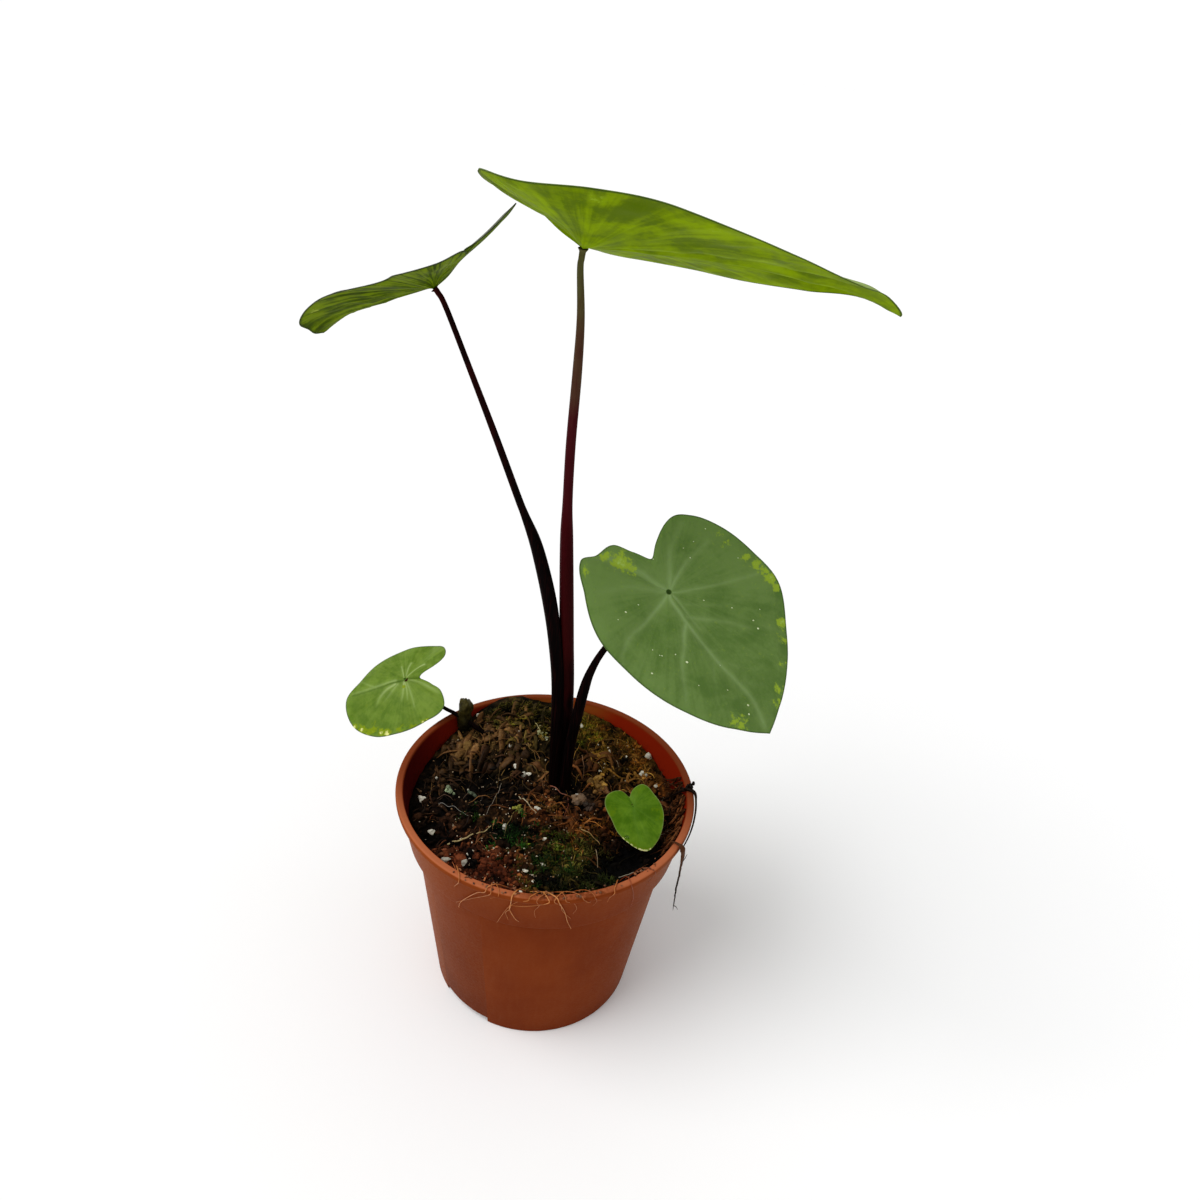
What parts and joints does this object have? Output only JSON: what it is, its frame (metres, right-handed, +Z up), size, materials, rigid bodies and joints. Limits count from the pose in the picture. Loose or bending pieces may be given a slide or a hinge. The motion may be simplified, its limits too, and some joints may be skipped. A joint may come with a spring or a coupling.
{
  "type": "potted tropical storm colocasia",
  "caption": "Small potted aroid: heart-shaped leaf blades on slender dark stalks that rise as one bundle from dark soil in a round tapered nursery pot with a collared rim.",
  "frame": {"origin": "centre of the pot's foot, on the plane that the pot stands on", "axes": "+Z up along the pot's axis, -Y towards the side that the picture was taken from, +X to its right"},
  "size_m": [0.1914, 0.126, 0.3326],
  "materials": {
    "terracotta": "satin moulded plastic, terracotta coloured",
    "soil": "damp dark coir and bark mix with moss and perlite",
    "stalk": "smooth waxy stalk, near black maroon below and olive at the top",
    "leaf_lit": "thin bright yellow green blade with mottles and fanned veins",
    "leaf_matte": "matte water-repellent mid green blade with pale veins and yellow green flecks",
    "leaf_young": "soft bright green young blade with a pale edge",
    "corm": "brown fibrous skin",
    "bark": "damp mossy bark",
    "dry_root": "dry shrivelled root strip"
  },
  "bodies": {
    "root": {"pot": "terracotta", "soil": "soil", "corm": "corm", "petiole_tall": "stalk", "petiole_left": "stalk", "petiole_right": "stalk", "petiole_low": "stalk", "petiole_young": "stalk", "leaf_tall": "leaf_lit", "leaf_left": "leaf_lit", "leaf_right": "leaf_matte", "leaf_low": "leaf_matte", "leaf_young": "leaf_young", "bark_lump": "bark", "dry_strip": "dry_root"}
  },
  "joints": []
}
